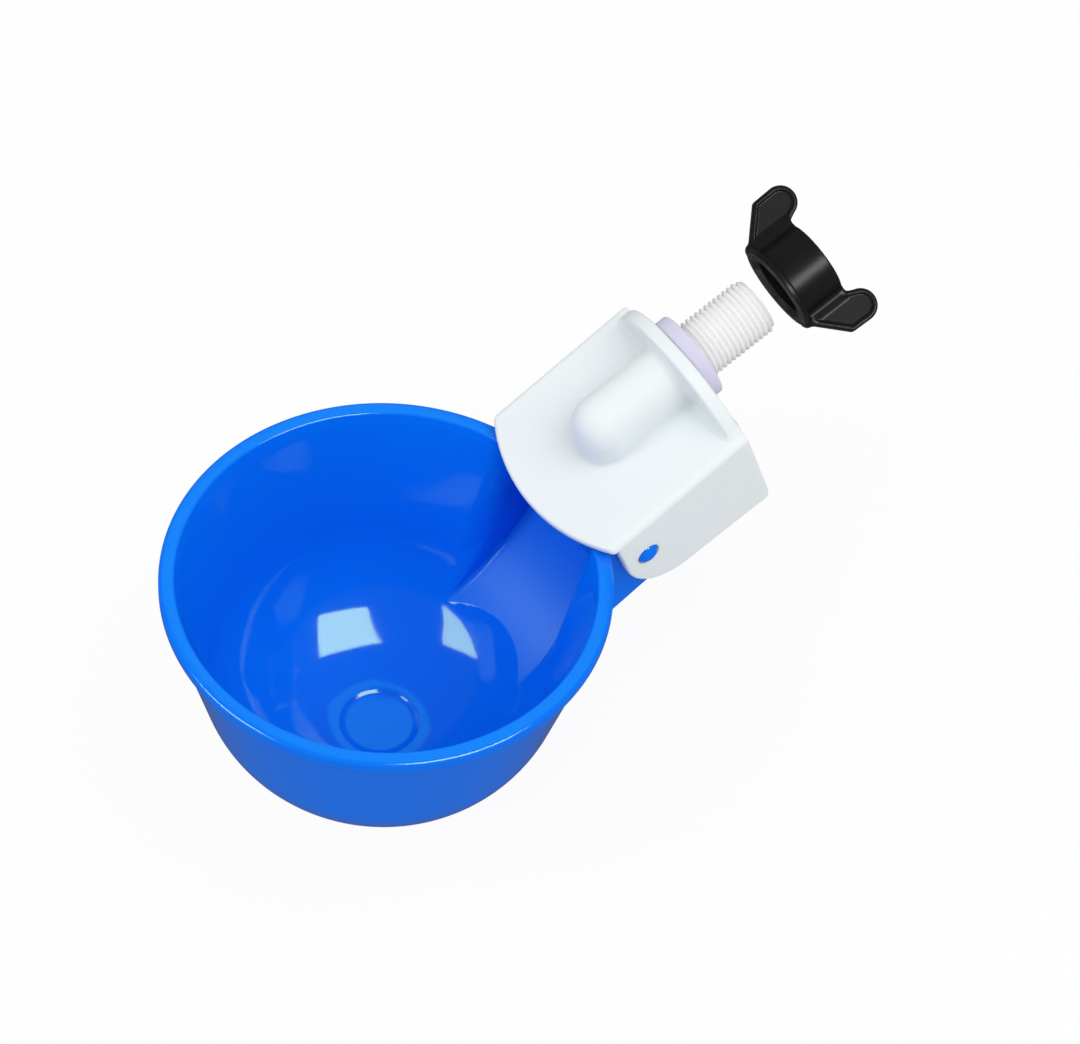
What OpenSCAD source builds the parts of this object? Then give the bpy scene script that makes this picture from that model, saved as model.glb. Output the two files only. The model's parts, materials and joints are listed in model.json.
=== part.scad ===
// Cup waterer for poultry. A blue bowl hangs on two trunnions in a white hood,
// and the hood is clamped to a bucket wall by a threaded inlet and a wing nut.
// The bowl rises when it is empty and opens the valve, and its own water
// brings it down again and closes it.
// X runs across, +Y runs out along the thread, +Z is up. The origin is on the
// thread's axis, in the rear face of the sealing washer.

/* [Thread and washer] */
// Outside diameter of the inlet thread
thread_d = 9.73; // [8:0.01:13]
// Length of thread behind the washer
thread_len = 12.6; // [8:0.1:15]
// Diameter of the water passage
passage_d = 4.4; // [3:0.1:5]
// Diameter of the smooth neck inside the washer
neck_d = 9.2; // [8:0.1:9.4]
// Diameter of the spigot that is pressed into the hood
spigot_d = 7.2; // [6:0.1:8]
// Distance from that spigot's end to the valve's axis
spigot_short = 2.1; // [1.8:0.1:6]
// Outside diameter of the sealing washer
washer_d = 14.6; // [12:0.1:20]
// Thickness of the sealing washer
washer_t = 2.4; // [1.5:0.1:4]

/* [Hood] */
// Width over the two skirts
hood_w = 32.6; // [31:0.1:40]
// Height of the roof on the thread's axis, at the origin
roof_z = -2.5; // [-3.5:0.1:-1.5]
// Fall of the roof towards the bowl, in degrees
roof_fall = 4.4; // [2:0.1:7]
// Thickness of the roof
roof_t = 1.5; // [1.2:0.1:1.8]
// Thickness of the skirts
skirt_t = 2.2; // [1.6:0.1:2.4]
// Thickness of the back wall and its arch
back_t = 2.4; // [1.8:0.1:3.5]
// Length of the skirts, from the back face
skirt_len = 26.5; // [25:0.1:26.8]
// Level of the skirts' lower edge
skirt_z = -23; // [-28:0.1:-20]
// Radius of the skirts' lower front corner
skirt_r = 9.4; // [4:0.1:10]
// Radius of the skirts' lower rear corner
heel_r = 1.6; // [0.5:0.1:3]
// Radius of the roof's curved nose, seen from above
nose_r = 29.6; // [25:0.1:40]
// Reach of the nose in front of the skirts
nose_out = 5.6; // [3.5:0.1:7]
// Rounding of the roof's side edges
edge_r = 1.2; // [0.5:0.1:2]
// Highest point of the arch on the back wall
arch_z = 7; // [6:0.1:12]
// Radius of that arch
arch_r = 15.6; // [15.4:0.1:20]
// Radius of the hollow between the roof and the arch
arch_fillet = 2; // [0.8:0.1:2.5]

/* [Water tunnel] */
// Outside radius of the tunnel on the roof
tunnel_r = 5; // [4.6:0.1:6]
// Distance from the valve's axis forward to the centre of the tunnel's round end
tunnel_past = 4; // [2.5:0.1:6]
// Hollow radius where the tunnel meets the roof
tunnel_fillet = 1.2; // [0.4:0.1:1.5]

/* [Bowl] */
// Outside radius of the rim
rim_r = 35; // [34.6:0.1:35.2]
// Height of the rim's band
rim_h = 2; // [1.2:0.1:3]
// Step from the rim's band to the wall below it
rim_step = 1; // [0.3:0.1:1.2]
// Rounding of the rim's edges
rim_round = 0.5; // [0.2:0.1:0.8]
// Thickness of the bowl's wall
bowl_t = 2; // [1.5:0.1:2.2]
// Height from the rim to the underside
bowl_h = 41; // [38:0.1:46]
// Radius of the flat floor
floor_r = 6.6; // [4:0.1:10]
// Outside radius of the curve from wall to floor
bowl_curve = 23; // [18:0.1:25]
// Depth of the round mark in the floor
mark_deep = 0.25; // [0.1:0.05:0.5]

/* [Hinge] */
// Distance from the skirts' front edge back to the trunnions
pivot_inset = 4.2; // [4:0.1:4.5]
// Level of the trunnions
pivot_z = -12.9; // [-13.5:0.1:-12.5]
// Distance from the bowl's axis to the trunnions
bowl_reach = 38.5; // [38.4:0.1:40]
// Height of the rim above the trunnions
rim_rise = 3.4; // [3:0.1:3.5]
// Diameter of the trunnions
trunnion_d = 3.7; // [3:0.1:4.5]
// Stand-out of the trunnions' domed ends
trunnion_out = 0.6; // [0.2:0.1:1]
// Angle that the empty bowl stands up from level
raised = 21; // [15:0.5:21]

/* [Trough] */
// Thickness of the two hinge cheeks
cheek_t = 2; // [1.6:0.1:2.5]
// Gap between a cheek and its skirt
cheek_gap = 0.5; // [0.3:0.05:0.8]
// Radius of the cheeks round the trunnions
cheek_r = 4.2; // [3.5:0.1:5]
// Slope of the trough's floor, in degrees
trough_slope = 27.7; // [25:0.1:30]
// Depth of that floor's underside below the trunnions
trough_deep = 13.3; // [12:0.1:15]
// Reach of the trough behind the trunnions
trough_back = 14.8; // [14:0.1:16]
// Depth of the pad that lifts the plunger below the trunnions
pad_deep = 2.2; // [1.8:0.1:2.4]
// Width of that pad
pad_w = 4.8; // [3:0.1:7]
// Width of the doorway from the bowl to the trough
door_w = 21; // [18:0.1:22]
// Radius of the ramp that leads from the bowl up to the trough
ramp_r = 34; // [33:0.1:35]
// Distance from the trunnions forward to the ramp's centre
ramp_ahead = 32.7; // [32:0.1:34]
// Height of the ramp's centre above the trunnions
ramp_rise = 2.3; // [1.5:0.1:3]

/* [Valve] */
// Distance from the trunnions to the plunger
lever = 10.7; // [10:0.1:11]
// Outside radius of the valve boss
boss_r = 5.3; // [5:0.1:6]
// Radius of the valve chamber
chamber_r = 3.8; // [3.6:0.05:4]
// Diameter of the valve port
port_d = 2.2; // [1.5:0.1:2.8]
// Height of the raised seat round the port
seat_h = 0.6; // [0.4:0.1:0.8]
// Radius of the rubber seal
seal_r = 2.3; // [2:0.1:2.35]
// Thickness of the rubber seal
seal_t = 1.2; // [1:0.1:1.3]
// Wall of the cup that holds the seal
head_wall = 0.45; // [0.35:0.05:0.5]
// Radius of the plunger's flange
flange_r = 3.5; // [3.4:0.05:3.55]
// Thickness of the plunger's flange
flange_t = 0.8; // [0.6:0.1:0.9]
// Diameter of the plunger's stem
stem_d = 2.4; // [2:0.1:2.6]
// Thickness of the guide
guide_t = 1.4; // [1:0.1:1.5]
// Diameter of the spring's wire
wire_d = 0.4; // [0.3:0.05:0.4]
// Turns of the spring
spring_turns = 4; // [3:1:4]

/* [Wing nut] */
// Distance from the washer to the loose nut
nut_y = 16.4; // [16:0.1:25]
// Length of the nut's body
nut_len = 8.2; // [6:0.1:10]
// Radius of the nut's body
nut_r = 6.4; // [6.2:0.1:7]
// Radius of the collar on its front
collar_r = 7.4; // [7:0.1:9]
// Thickness of that collar
collar_t = 1; // [0.6:0.1:2]
// Turn of the wings from level, in degrees
wing_turn = 29; // [0:1:90]
// Distance from the nut's axis to the centre of a wing's round tip
wing_reach = 10.2; // [9.5:0.1:12]
// Radius of a wing's round tip
wing_tip_r = 2.7; // [2:0.1:3.5]
// Distance the wing's tip stands behind the nut's front
wing_back = 8.9; // [7:0.1:10]
// Thickness of the wings at their border
wing_t = 2.3; // [2:0.1:3.5]
// Depth of the panel pressed into each side of a wing
panel_deep = 0.4; // [0.2:0.05:0.6]
// Width of the border round that panel
panel_border = 0.9; // [0.6:0.1:1.2]

/* [Hidden] */
$fn = 96;
cut = 0.01;
past = 20;
sunk = 0.9;
cove_share = 0.93;
arch_spare = 0.5;
run_gap = 0.1;
press_gap = 0.05;

thread_end = 0.6;
washer_gap = 0.08;
back_y = -washer_t;
skirt_front = back_y - skirt_len;
nose_y = skirt_front - nose_out;
pivot_y = skirt_front + pivot_inset;
pivot_hole_r = trunnion_d / 2 + run_gap;
valve_y = pivot_y + lever;
spigot_y = valve_y + spigot_short;
tunnel_y = valve_y - tunnel_past;
inner_w = hood_w - 2 * skirt_t;

bowl_wall_top = rim_r - rim_step;
bowl_mouth_t = bowl_t / cos(15);
cheek_out = inner_w / 2 - cheek_gap;
cheek_in = cheek_out - cheek_t;
trough_t = bowl_t;
ramp_c = [-ramp_ahead, ramp_rise];
ramp_a = -25;
ramp_end = ramp_c + ramp_r * [cos(ramp_a), sin(ramp_a)];

seat_z = roof_z + valve_y * tan(roof_fall) - roof_t - seat_h;
ceiling_z = seat_z + seat_h;
rest_gap = 0.15;
seal_gap = 0.1;
seal_proud = 0.5;
head_rise = 0.9;
stem_tip_r = stem_d / 2;
// Height of the lifting pad under the plunger when the bowl is tilt degrees
// above level: the pad is a plane that turns about the trunnions.
function pad_z(tilt) = pivot_z - pad_deep / cos(tilt) - lever * tan(tilt);
// A round tip of radius r touches a tilted plane this much above it.
function tip_rise(tilt) = stem_tip_r * (1 / cos(tilt) - 1);
tip_low_z = pad_z(raised) + tip_rise(raised) + rest_gap;
tip_high_z = pad_z(0) + rest_gap;
plunger_travel = tip_high_z - tip_low_z;
seal_top_z = seat_z - seal_gap - plunger_travel;
flange_top_z = seal_top_z - seal_proud - head_rise;
flange_low_z = flange_top_z - flange_t;
guide_top_z = flange_low_z - 0.35;
guide_low_z = guide_top_z - guide_t;
guide_r = chamber_r + 0.3;
spring_r = (chamber_r + seal_r + head_wall) / 2 - 0.05;

nut_gap = 0.065;
nut_bore_r = thread_d / 2 + nut_gap;

// Points of an arc about c, from angle a to angle b
function arc(c, r, a, b, n) =
    [for (i = [0:n]) let (t = a + (b - a) * i / n) c + r * [cos(t), sin(t)]];

// Height of the roof's top face at a place along Y
function roof_at(y) = roof_z + y * tan(roof_fall);

// Draws a profile given in Y and Z, as wide as w across X
module across(w) rotate([90, 0, 90]) linear_extrude(w, center = true) children();

// Draws a profile given in X and Z, from y0 to y1
module along(y0, y1)
    translate([0, y1, 0]) rotate([90, 0, 0]) linear_extrude(y1 - y0) children();

// Puts children on the roof: X across, Y up the roof, Z square to it
module on_roof() translate([0, 0, roof_z]) rotate([roof_fall, 0, 0]) children();

// A cylinder along +Y from y0 to y1
module rod(r, y0, y1) translate([0, y0, 0]) rotate([-90, 0, 0]) cylinder(r = r, h = y1 - y0);

// Side outline of the hood, grown inwards by t: skirts, roof and nose
module hood_side(t) {
    rear = back_y - (t > 0 ? back_t : 0);
    front = skirt_front - (t > 0 ? past : 0);
    drop = t > 0 ? roof_t / cos(roof_fall) : 0;
    low = skirt_z - (t > 0 ? past : 0);
    polygon(concat(
        arc([rear - heel_r, low + heel_r], heel_r, 0, -90, 6),
        arc([front + skirt_r, low + skirt_r], skirt_r, -90, -180, 24),
        [[front, roof_at(front) - drop], [rear, roof_at(rear) - drop]]));
}

// The roof's plate, out to the tip of the nose
module roof_side() {
    front = nose_y - 1;
    drop = roof_t / cos(roof_fall);
    polygon([[back_y, roof_at(back_y)], [front, roof_at(front)],
             [front, roof_at(front) - drop], [back_y, roof_at(back_y) - drop]]);
}

// Plan of the hood: straight sides and back, curved nose
module hood_plan() intersection() {
    translate([-hood_w / 2, nose_y - 1]) square([hood_w, back_y - nose_y + 1]);
    translate([0, nose_y + nose_r]) circle(r = nose_r);
}

// Section of the hood square to the roof, with its side edges rounded
module hood_section() {
    half = hood_w / 2;
    low = skirt_z - past;
    polygon(concat(arc([half - edge_r, -edge_r], edge_r, 0, 90, 8),
                   arc([edge_r - half, -edge_r], edge_r, 90, 180, 8),
                   [[-half, low], [half, low]]));
}

// Roof and skirts as one moulding, open below and in front
module hood_shell() {
    intersection() {
        union() {
            difference() {
                across(hood_w) hood_side(0);
                across(inner_w) hood_side(1);
            }
            across(hood_w) roof_side();
        }
        translate([0, 0, skirt_z - past]) linear_extrude(past - skirt_z) hood_plan();
        on_roof() along(nose_y - past, past) hood_section();
    }
}

// Back wall: closes the hood behind and rises in an arch round the inlet
module back_wall() {
    along(back_y - back_t, back_y) {
        intersection() {
            translate([0, arch_z - arch_r]) circle(r = arch_r);
            translate([-hood_w / 2, arch_z - arch_r]) square([hood_w, arch_r + 1]);
        }
        translate([-hood_w / 2, skirt_z + heel_r])
            square([hood_w, arch_z - arch_r - skirt_z - heel_r + cut]);
    }
}

// Concave fillet of radius r in the corner of +X and +Y. It is sunk into both
// walls, so that its curve crosses them and doesn't run out along them.
module cove(r) difference() {
    translate([-sunk, -sunk]) square(r + sunk);
    translate([r, r] * cove_share) circle(r = r);
}

// Hollow curve that joins the roof to the arch, out to where the arch is no
// more than a little higher than the curve
module arch_root() {
    top = roof_at(back_y - back_t) + arch_fillet + arch_spare;
    half = sqrt(pow(arch_r, 2) - pow(top - arch_z + arch_r, 2));
    translate([0, back_y - back_t, roof_at(back_y - back_t)]) rotate([roof_fall, 0, 0])
        across(2 * half) mirror([1, 0]) cove(arch_fillet);
}

// Half section of the tunnel: upright wall below, quarter round above
module tunnel_half(low)
    polygon(concat([[0, low], [tunnel_r, low]], arc([0, 0], tunnel_r, 0, 90, 16)));

// Raised tunnel that leads the water forward over the valve
module tunnel() {
    low = roof_at(tunnel_y) - roof_t / 2;
    along(tunnel_y, back_y - cut) {
        tunnel_half(low);
        mirror([1, 0]) tunnel_half(low);
    }
    translate([0, tunnel_y, 0]) rotate([0, 0, 180])
        rotate_extrude(angle = 180) tunnel_half(low);
}

// Hollow curve round the foot of the tunnel
module tunnel_root() on_roof() {
    end_y = tunnel_y / cos(roof_fall);
    for (side = [0, 1]) mirror([side, 0, 0])
        along(end_y, back_y - back_t) translate([tunnel_r, 0]) cove(tunnel_fillet);
    translate([0, end_y, 0]) rotate([0, 0, 180]) rotate_extrude(angle = 180)
        translate([tunnel_r, 0]) cove(tunnel_fillet);
}

// Valve boss under the roof
module valve_boss()
    translate([0, valve_y, guide_low_z]) cylinder(r = boss_r, h = ceiling_z - guide_low_z + 0.5);

// Everything that is bored out of the hood
module hood_bores() {
    rod(spigot_d / 2 + press_gap, spigot_y, back_y + 1);
    rod(passage_d / 2, valve_y - passage_d / 2, back_y);
    translate([0, valve_y, seat_z - 1]) cylinder(d = port_d, h = 1 - seat_z);
    translate([0, valve_y, guide_low_z - 1]) {
        difference() {
            cylinder(r = chamber_r, h = ceiling_z - guide_low_z + 1);
            translate([0, 0, seat_z - guide_low_z + 1])
                cylinder(r = port_d / 2 + 0.6, h = seat_h + 1);
        }
        cylinder(r = guide_r + press_gap, h = guide_top_z - guide_low_z + 1);
    }
    translate([0, pivot_y, pivot_z]) rotate([0, 90, 0])
        cylinder(r = pivot_hole_r, h = hood_w + 2, center = true);
}

module housing() color("white") difference() {
    union() {
        hood_shell();
        back_wall();
        arch_root();
        tunnel();
        tunnel_root();
        valve_boss();
    }
    hood_bores();
}

// Hollow threaded stub that takes the water in, at its outside diameter
module inlet_stub() color("ghostwhite") rotate([-90, 0, 0]) rotate_extrude() {
    bore = passage_d / 2;
    root = spigot_y + press_gap;
    polygon([[bore, root], [spigot_d / 2 - 0.4, root], [spigot_d / 2, root + 0.4],
             [spigot_d / 2, back_y], [neck_d / 2, back_y], [neck_d / 2, 0],
             [thread_d / 2, 0], [thread_d / 2, thread_len - thread_end],
             [thread_d / 2 - thread_end, thread_len],
             [bore + thread_end, thread_len], [bore, thread_len - thread_end]]);
}

module sealing_washer() color("lavender") difference() {
    rod(washer_d / 2, back_y, 0);
    rod(thread_d / 2 + washer_gap, back_y - 1, 1);
}

// Outline of one wing, in reach from the axis and distance behind the front
module wing_outline(inset) {
    tip = [wing_reach, wing_back];
    shoulder = [wing_reach + wing_tip_r - 0.9, wing_back - 3.1];
    root = nut_r - 1;
    hull() {
        translate(tip) circle(r = wing_tip_r - inset, $fn = 32);
        translate(shoulder) circle(r = 0.8 - inset / 2, $fn = 16);
        translate([root, inset * 2.6]) square([1, nut_len - 1.6 - inset * 3.2]);
    }
}

// One wing: a plate with a raised border on both sides
module wing() {
    difference() {
        translate([0, 0, -wing_t / 2]) linear_extrude(wing_t) wing_outline(0);
        for (side = [0, 1]) mirror([0, 0, side])
            translate([0, 0, wing_t / 2 - panel_deep]) linear_extrude(1)
                wing_outline(panel_border);
    }
}

module wing_nut() color([0.08, 0.08, 0.08]) translate([0, nut_y, 0])
    rotate([0, wing_turn, 0]) difference() {
        union() {
            rod(collar_r, 0, collar_t);
            rod(nut_r, 0, nut_len);
            for (turn = [0, 180]) rotate([0, turn, 0]) wing();
        }
        rod(nut_bore_r, -1, nut_len + 5);
        rotate([-90, 0, 0]) translate([0, 0, -cut])
            cylinder(r1 = nut_bore_r + 0.5, r2 = nut_bore_r, h = 0.5);
    }

// Angle at which a line from the point [r, z] touches the bowl's curve
function touch_angle(p, c, r) =
    let (d = p - c) atan2(d[1], d[0]) - acos(r / norm(d));

// Wall and curve of the bowl in radius and height below the rim, for a
// surface that starts at top and has the curve's radius r
function bowl_line(top, r) =
    let (c = [floor_r, bowl_curve - bowl_h], a = touch_angle(top, c, r))
    concat([top], arc(c, r, a, -90, 40));

// Outside of the bowl below its rim
module bowl_outside() {
    line = bowl_line([bowl_wall_top, -rim_h], bowl_curve);
    polygon(concat([[0, -cut], [bowl_wall_top, -cut]], line, [[0, -bowl_h]]));
}

// Rim: a flat band with rounded edges
module rim_band() {
    inner = bowl_wall_top - bowl_mouth_t - 1;
    polygon(concat([[inner, -rim_h]],
        arc([rim_r - rim_round, -rim_h + rim_round], rim_round, -90, 0, 6),
        arc([rim_r - rim_round, -rim_round], rim_round, 0, 90, 6), [[inner, 0]]));
}

// Hollow of the bowl, open above the rim
module bowl_hollow() {
    top = [bowl_wall_top - bowl_mouth_t, -rim_h];
    mouth = top[0] + rim_h * 0.27;
    line = bowl_line(top, bowl_curve - bowl_t);
    low = bowl_t - bowl_h;
    rotate_extrude() polygon(concat([[0, past], [mouth, past], [mouth, 0]], line,
        [[floor_r - 0.3, low], [floor_r - 0.3, low - mark_deep], [0, low - mark_deep]]));
}

// Underside of the trough at a distance behind the trunnions
function trough_low(y) = y * tan(trough_slope) - trough_deep;

// Side outline of a hinge cheek, from inside the bowl to the trough's back
module cheek_side() {
    front = -16;
    reach = norm([trough_back, pad_deep]);
    back_a = acos(cheek_r / reach) - atan2(pad_deep, trough_back);
    polygon(concat([[front, trough_low(front)], [front, rim_rise - rim_h],
                    [-cheek_r, rim_rise - rim_h + cut]],
        arc([0, 0], cheek_r, 145, back_a, 16),
        [[trough_back, -pad_deep], [trough_back, trough_low(trough_back)]]));
}

// Space inside the trough, above its floor, and level over its rear wall
module trough_hollow() {
    front = ramp_end[0] - 1;
    rear = trough_back - trough_t;
    rise = trough_t / cos(trough_slope);
    polygon([[front, trough_low(front) + rise], [rear, trough_low(rear) + rise],
             [rear, -pad_deep], [trough_back + 1, -pad_deep],
             [trough_back + 1, past], [front, past]]);
}

// Side outline of the ramp, r from its centre, up to the level top
module ramp_side(r, top) polygon(concat(arc(ramp_c, r, -75, ramp_a, 24),
    [[ramp_c[0] + r * cos(ramp_a), top], [ramp_c[0] + r * cos(-75), top]]));

// Pad in the trough that lifts the plunger
module lifting_pad() across(pad_w) {
    front = lever - 2;
    polygon([[front, trough_low(front)], [front, -pad_deep], [trough_back, -pad_deep],
             [trough_back, trough_low(trough_back)]]);
}

// One trunnion with its domed end, on the +X side
module trunnion() {
    len = hood_w / 2 + trunnion_out - cheek_out;
    dome = trunnion_out + 0.4;
    r = trunnion_d / 2;
    translate([cheek_out - cut, 0, 0]) rotate([0, 90, 0]) rotate_extrude()
        polygon(concat([[0, 0], [r, 0]],
            [for (i = [0:8]) let (a = i * 90 / 8) [r * cos(a), len - dome + dome * sin(a)]]));
}

// The cup level, with its trunnions on the X axis
module level_cup() {
    union() {
        difference() {
            union() {
                translate([0, -bowl_reach, rim_rise]) rotate_extrude() {
                    bowl_outside();
                    rim_band();
                }
                across(2 * cheek_out) cheek_side();
                across(door_w + 2 * trough_t) ramp_side(ramp_r + trough_t, rim_rise - rim_h);
            }
            translate([0, -bowl_reach, rim_rise]) bowl_hollow();
            across(2 * cheek_in) trough_hollow();
            across(door_w) ramp_side(ramp_r, past);
        }
        lifting_pad();
        for (side = [0, 1]) mirror([side, 0, 0]) trunnion();
    }
}

module cup() color("royalblue")
    translate([0, pivot_y, pivot_z]) rotate([-raised, 0, 0]) level_cup();

// Plunger: seal cup, flange and round-ended stem, in its open place
module plunger() color("white") translate([0, valve_y, 0]) rotate_extrude() {
    head = seal_r + head_wall;
    seat = seal_top_z - seal_t;
    polygon(concat(
        [[0, seat], [seal_r, seat], [seal_r, seal_top_z - seal_proud],
         [head, seal_top_z - seal_proud], [head, flange_top_z],
         [flange_r, flange_top_z], [flange_r, flange_low_z], [stem_tip_r, flange_low_z]],
        arc([0, tip_low_z + stem_tip_r], stem_tip_r, 0, -90, 10)));
}

module plunger_seal() color("dimgray")
    translate([0, valve_y, seal_top_z - seal_t]) cylinder(r = seal_r - press_gap, h = seal_t);

// Spring between the chamber's ceiling and the plunger's flange
module plunger_spring() color("silver") {
    low = flange_top_z + wire_d / 2 + 0.02;
    high = ceiling_z - wire_d / 2 - 0.02;
    steps = 24;
    sides = 8;
    rings = [for (i = [0:spring_turns * steps]) let (
        turn = i / steps,
        t = turn / spring_turns,
        dead = 0.75 / spring_turns,
        rise = t < dead ? 0 : t > 1 - dead ? 1 : (t - dead) / (1 - 2 * dead),
        coil = wire_d * (t < dead ? turn : t > 1 - dead ? spring_turns - turn : 0.75),
        z = rise * (high - low) + low + (t <= dead ? coil : t < 1 - dead ? coil * (1 - 2 * rise) : -coil),
        a = 360 * turn)
        [for (k = [0:sides - 1]) let (b = 360 * k / sides, r = spring_r + wire_d / 2 * cos(b))
            [r * cos(a), r * sin(a), z + wire_d / 2 * sin(b)]]];
    last = len(rings) - 1;
    points = [for (ring = rings) each ring];
    walls = [for (i = [0:last - 1]) for (k = [0:sides - 1]) let (m = (k + 1) % sides)
        [i * sides + k, i * sides + m, (i + 1) * sides + m, (i + 1) * sides + k]];
    first_end = [for (k = [sides - 1:-1:0]) k];
    last_end = [for (k = [0:sides - 1]) last * sides + k];
    translate([0, valve_y, 0]) polyhedron(points, concat(walls, [first_end, last_end]));
}

// Guide in the chamber's mouth: a round plate with a stem hole and drain holes
module plunger_guide() color("white") translate([0, valve_y, guide_low_z]) difference() {
    cylinder(r = guide_r, h = guide_t);
    translate([0, 0, -1]) cylinder(d = stem_d + 2 * run_gap, h = guide_t + 2);
    for (turn = [45:90:315]) rotate([0, 0, turn])
        translate([(stem_d / 2 + guide_r) / 2, 0, -1]) cylinder(r = 0.7, h = guide_t + 2);
}

housing();
inlet_stub();
sealing_washer();
wing_nut();
cup();
plunger();
plunger_seal();
plunger_spring();
plunger_guide();
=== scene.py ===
"""The looks of a tilting cup waterer: bowl, hood, threaded inlet, washer, wing nut and valve.

Lengths are written in millimetres in the part's own frame (X across, +Y out along the
thread, +Z up, origin on the thread's axis in the washer's rear face), and each mesh is
put into metres when it is made.
"""

import json
import logging
from dataclasses import dataclass
from enum import Enum
from typing import Callable

import bmesh
import bpy
import numpy as np
from mathutils import Matrix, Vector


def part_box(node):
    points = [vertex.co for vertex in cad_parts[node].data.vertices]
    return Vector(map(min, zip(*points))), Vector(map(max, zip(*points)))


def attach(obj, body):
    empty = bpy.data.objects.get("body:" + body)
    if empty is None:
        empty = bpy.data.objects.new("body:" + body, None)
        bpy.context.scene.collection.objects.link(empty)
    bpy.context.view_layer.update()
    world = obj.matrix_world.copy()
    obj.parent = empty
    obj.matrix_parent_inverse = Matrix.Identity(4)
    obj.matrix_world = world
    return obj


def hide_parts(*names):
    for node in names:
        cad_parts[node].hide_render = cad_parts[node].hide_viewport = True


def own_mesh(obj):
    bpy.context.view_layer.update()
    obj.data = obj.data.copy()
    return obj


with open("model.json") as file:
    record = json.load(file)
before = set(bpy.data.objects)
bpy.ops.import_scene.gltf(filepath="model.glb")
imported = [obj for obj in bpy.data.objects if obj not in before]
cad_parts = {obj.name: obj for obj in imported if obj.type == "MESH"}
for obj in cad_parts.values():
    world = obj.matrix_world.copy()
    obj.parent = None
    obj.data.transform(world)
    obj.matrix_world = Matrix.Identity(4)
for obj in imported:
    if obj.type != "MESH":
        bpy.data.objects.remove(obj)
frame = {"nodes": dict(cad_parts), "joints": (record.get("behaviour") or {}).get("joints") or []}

Array = np.ndarray
Piece = bpy.types.Object
Socket = bpy.types.NodeSocket
Pair = tuple[float, float]
Triple = tuple[float, float, float]
LOG = logging.getLogger("waterer")
MM = 0.001
ROUND = 2 * np.pi


class Body(Enum):
    """The bodies that a piece can ride on."""

    HOOD = "hood"
    BOWL = "bowl"
    NUT = "nut"


def box_mm(node: str) -> tuple[Array, Array]:
    """Lowest and highest corner of a node's box in millimetres."""
    low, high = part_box(node)
    return np.array(low) / MM, np.array(high) / MM


def arc(centre: Pair, radius: float, start: float, end: float, steps: int) -> Array:
    """Points on a circle: centre plus radius times the cosine and sine of each angle.

    Args:
        centre: the circle's centre.
        radius: the circle's radius.
        start: first angle in degrees.
        end: last angle in degrees.
        steps: number of stretches.

    Returns:
        An array of steps + 1 rows and 2 columns.
    """
    angle = np.radians(np.linspace(start, end, steps + 1))
    return np.array(centre) + radius * np.stack([np.cos(angle), np.sin(angle)], -1)


def join(*parts: Array | list) -> Array:
    """Outline made of several runs of points, one after another."""
    return np.concatenate([np.asarray(part, float).reshape(-1, 2) for part in parts])


def resample(points: Array, step: float) -> Array:
    """Adds points along each stretch of an open line so that none is longer than step.

    Args:
        points: the line's points.
        step: the longest stretch that may stay.

    Returns:
        The line with even points between its own.
    """
    runs = []
    for first, last in zip(points[:-1], points[1:]):
        count = max(1, int(np.ceil(np.linalg.norm(last - first) / step)))
        share = np.arange(count)[:, None] / count
        runs.append(first + share * (last - first))
    return np.concatenate([*runs, points[-1:]])


def grid_quads(rows: int, cols: int, loop_rows: bool, loop_cols: bool) -> Array:
    """Quads between neighbouring points of a grid.

    Args:
        rows: number of rows of points.
        cols: number of points in a row.
        loop_rows: True if the last row joins the first.
        loop_cols: True if the last point of a row joins its first.

    Returns:
        An array of point numbers, four to a quad.
    """
    row, col = np.meshgrid(
        np.arange(rows - (not loop_rows)), np.arange(cols - (not loop_cols)), indexing="ij"
    )
    row_next, col_next = (row + 1) % rows, (col + 1) % cols
    corners = [row * cols + col, row_next * cols + col, row_next * cols + col_next, row * cols + col_next]
    return np.stack(corners, -1).reshape(-1, 4)


def tube_faces(rows: int, cols: int) -> list[list[int]]:
    """Faces of a tube of rows by cols points, closed at both ends."""
    last = rows * cols - 1
    ends = [list(range(cols)), list(range(last, last - cols, -1))]
    return grid_quads(rows, cols, False, True).tolist() + ends


def add_object(name: str, data: bpy.types.ID) -> Piece:
    """A new object in the scene, at the origin."""
    obj = bpy.data.objects.new(name, data)
    bpy.context.scene.collection.objects.link(obj)
    return obj


def aim(obj: Piece, axes: list[Array], place: Array) -> None:
    """Puts an object in its place, with its own X, Y and Z along three directions."""
    world = np.eye(4)
    world[:3, :3] = np.stack(axes, -1)
    world[:3, 3] = place
    obj.matrix_world = Matrix(world.tolist())


def new_object(name: str, points: Array, faces: Array | list) -> Piece:
    """A mesh object from points in millimetres, welded, closed and facing outwards.

    Args:
        name: the object's name.
        points: its points in millimetres.
        faces: its faces as point numbers.

    Returns:
        The object, linked into the scene at the origin.
    """
    weld = 1e-4
    mesh = bpy.data.meshes.new(name)
    mesh.from_pydata((points.reshape(-1, 3) * MM).tolist(), [], [list(face) for face in faces])
    work = bmesh.new()
    work.from_mesh(mesh)
    bmesh.ops.remove_doubles(work, verts=work.verts, dist=weld * MM)
    bmesh.ops.dissolve_degenerate(work, edges=work.edges, dist=weld * MM / 2)
    bmesh.ops.recalc_face_normals(work, faces=work.faces)
    work.to_mesh(mesh)
    work.free()
    return add_object(name, mesh)


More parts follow.
